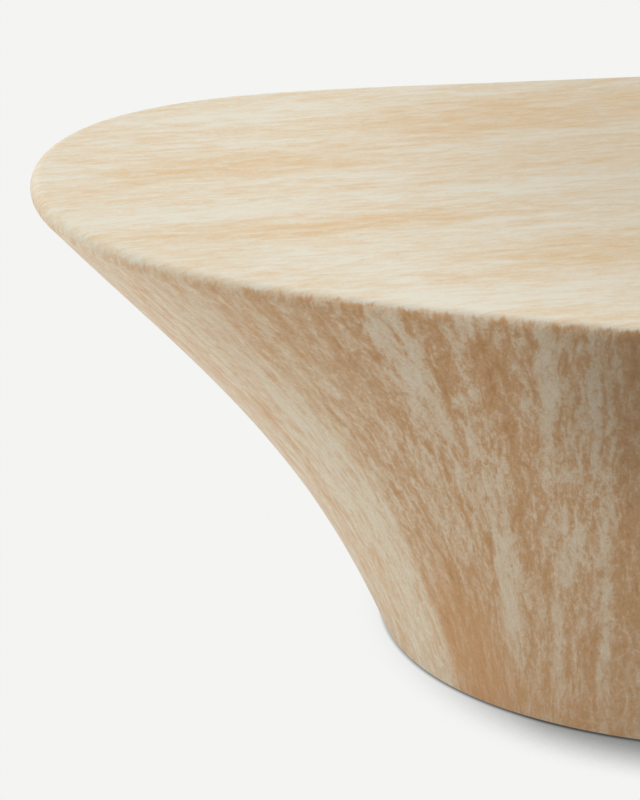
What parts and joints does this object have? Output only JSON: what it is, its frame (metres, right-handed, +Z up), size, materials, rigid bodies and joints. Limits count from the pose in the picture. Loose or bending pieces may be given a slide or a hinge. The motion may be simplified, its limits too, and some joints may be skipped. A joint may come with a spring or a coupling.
{
  "type": "oval coffee table",
  "caption": "Low oval coffee table: a flat honed travertine-effect top with a softly rounded rim flows into a hollow flared pedestal with a plywood frame inside and levelling feet below",
  "frame": {"origin": "on the floor under the middle of the table", "axes": "+X along the table's length, +Y towards its back, +Z up"},
  "size_m": [1.1833, 0.5898, 0.36],
  "materials": {
    "travertine_composite": "honed cast stone-effect composite, cream with tan travertine streaks",
    "birch_plywood": "sanded birch plywood",
    "zinc_plated_steel": "bright zinc-plated steel",
    "black_nylon": "moulded black nylon"
  },
  "bodies": {
    "table": {"top_shell": "travertine_composite", "pedestal_shell": "travertine_composite", "top_core_board": "birch_plywood", "upper_frame_ring": "birch_plywood", "lower_frame_ring": "birch_plywood", "base_board": "birch_plywood", "spine_web": "birch_plywood", "cross_web_left": "birch_plywood", "cross_web_right": "birch_plywood", "top_fixing_bolts": "zinc_plated_steel", "top_fixing_washers": "zinc_plated_steel", "top_inserts": "zinc_plated_steel", "upper_ring_screws": "zinc_plated_steel", "lower_ring_screws": "zinc_plated_steel", "base_board_screws": "zinc_plated_steel", "foot_nut_1": "zinc_plated_steel", "foot_nut_2": "zinc_plated_steel", "foot_nut_3": "zinc_plated_steel", "foot_nut_4": "zinc_plated_steel"},
    "pad_1": {"foot_pad_1": "black_nylon"},
    "stem_1": {"foot_stem_1": "zinc_plated_steel"},
    "pad_2": {"foot_pad_2": "black_nylon"},
    "stem_2": {"foot_stem_2": "zinc_plated_steel"},
    "pad_3": {"foot_pad_3": "black_nylon"},
    "stem_3": {"foot_stem_3": "zinc_plated_steel"},
    "pad_4": {"foot_pad_4": "black_nylon"},
    "stem_4": {"foot_stem_4": "zinc_plated_steel"}
  },
  "joints": [
    {"name": "pad_1_drop", "type": "slide", "parent": "table", "child": "pad_1", "axis": [0, 0, -1], "range_m": [0, 0.01]},
    {"name": "stem_1_turn", "type": "hinge", "parent": "pad_1", "child": "stem_1", "pos_m": [0.22239, 0.14187, 0.0125], "axis": [0, 0, -1], "range_deg": [0, 2880]},
    {"name": "pad_2_drop", "type": "slide", "parent": "table", "child": "pad_2", "axis": [0, 0, -1], "range_m": [0, 0.01]},
    {"name": "stem_2_turn", "type": "hinge", "parent": "pad_2", "child": "stem_2", "pos_m": [-0.22235, 0.14169, 0.0125], "axis": [0, 0, -1], "range_deg": [0, 2880]},
    {"name": "pad_3_drop", "type": "slide", "parent": "table", "child": "pad_3", "axis": [0, 0, -1], "range_m": [0, 0.01]},
    {"name": "stem_3_turn", "type": "hinge", "parent": "pad_3", "child": "stem_3", "pos_m": [-0.22239, -0.14187, 0.0125], "axis": [0, 0, -1], "range_deg": [0, 2880]},
    {"name": "pad_4_drop", "type": "slide", "parent": "table", "child": "pad_4", "axis": [0, 0, -1], "range_m": [0, 0.01]},
    {"name": "stem_4_turn", "type": "hinge", "parent": "pad_4", "child": "stem_4", "pos_m": [0.22235, -0.14169, 0.0125], "axis": [0, 0, -1], "range_deg": [0, 2880]}
  ],
  "couplings": [
    {"joint": "pad_1_drop", "follows": "stem_1_turn", "m_per_rad": 0.00019894},
    {"joint": "pad_2_drop", "follows": "stem_2_turn", "m_per_rad": 0.00019894},
    {"joint": "pad_3_drop", "follows": "stem_3_turn", "m_per_rad": 0.00019894},
    {"joint": "pad_4_drop", "follows": "stem_4_turn", "m_per_rad": 0.00019894}
  ]
}
